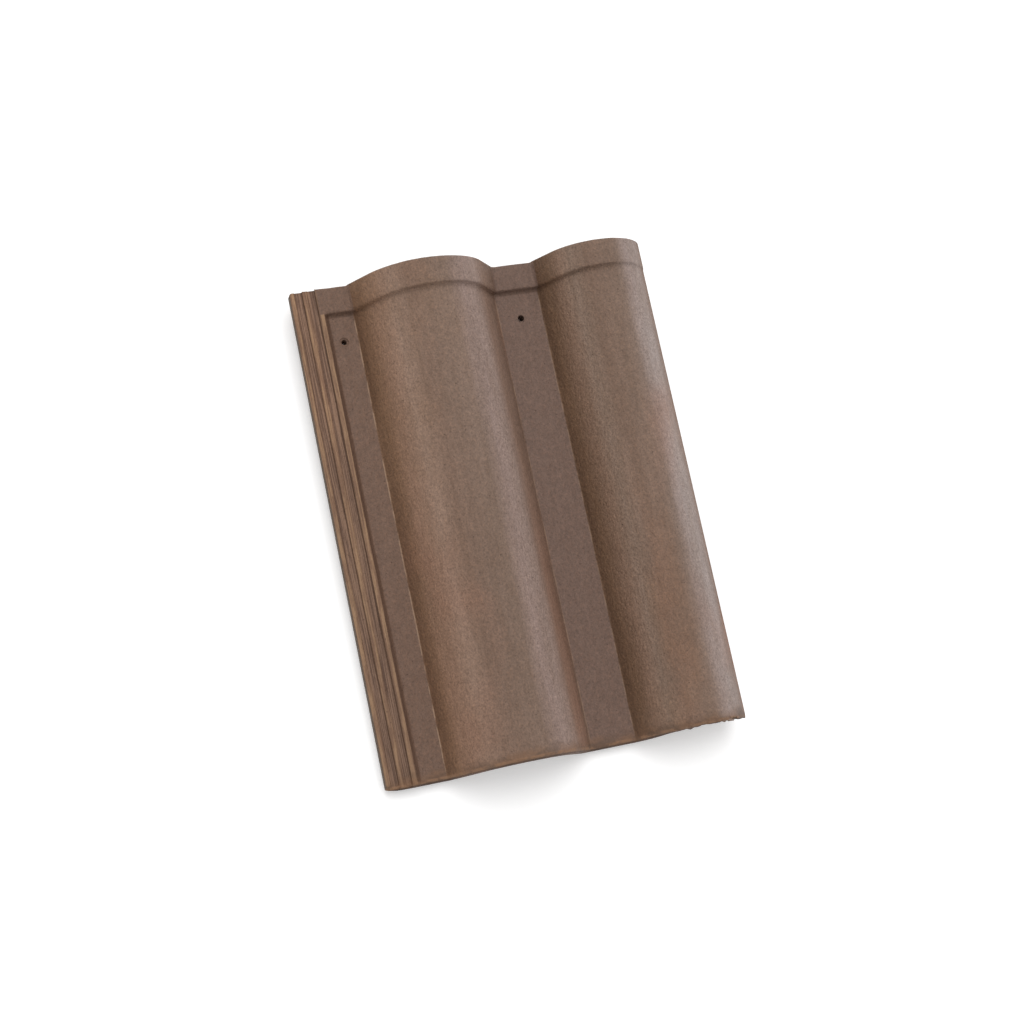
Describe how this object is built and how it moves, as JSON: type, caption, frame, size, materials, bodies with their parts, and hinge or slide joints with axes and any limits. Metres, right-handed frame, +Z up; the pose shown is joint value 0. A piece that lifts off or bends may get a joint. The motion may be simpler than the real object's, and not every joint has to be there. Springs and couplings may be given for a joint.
{
  "type": "roman roof tile",
  "caption": "Interlocking concrete roof tile with two half-round rolls, flat pans, a railed side lock, nail holes and nibs for the batten.",
  "frame": {"origin": "bottom centre of the tile's bounding box, on the floor it lies on", "axes": "+Y from the tail up to the head, +X from the low lock across to the high lock, +Z up"},
  "size_m": [0.314, 0.4336, 0.0818],
  "materials": {
    "concrete": "matt, sandy, coloured right through"
  },
  "bodies": {
    "root": {"roof_tile": "concrete"}
  },
  "joints": []
}
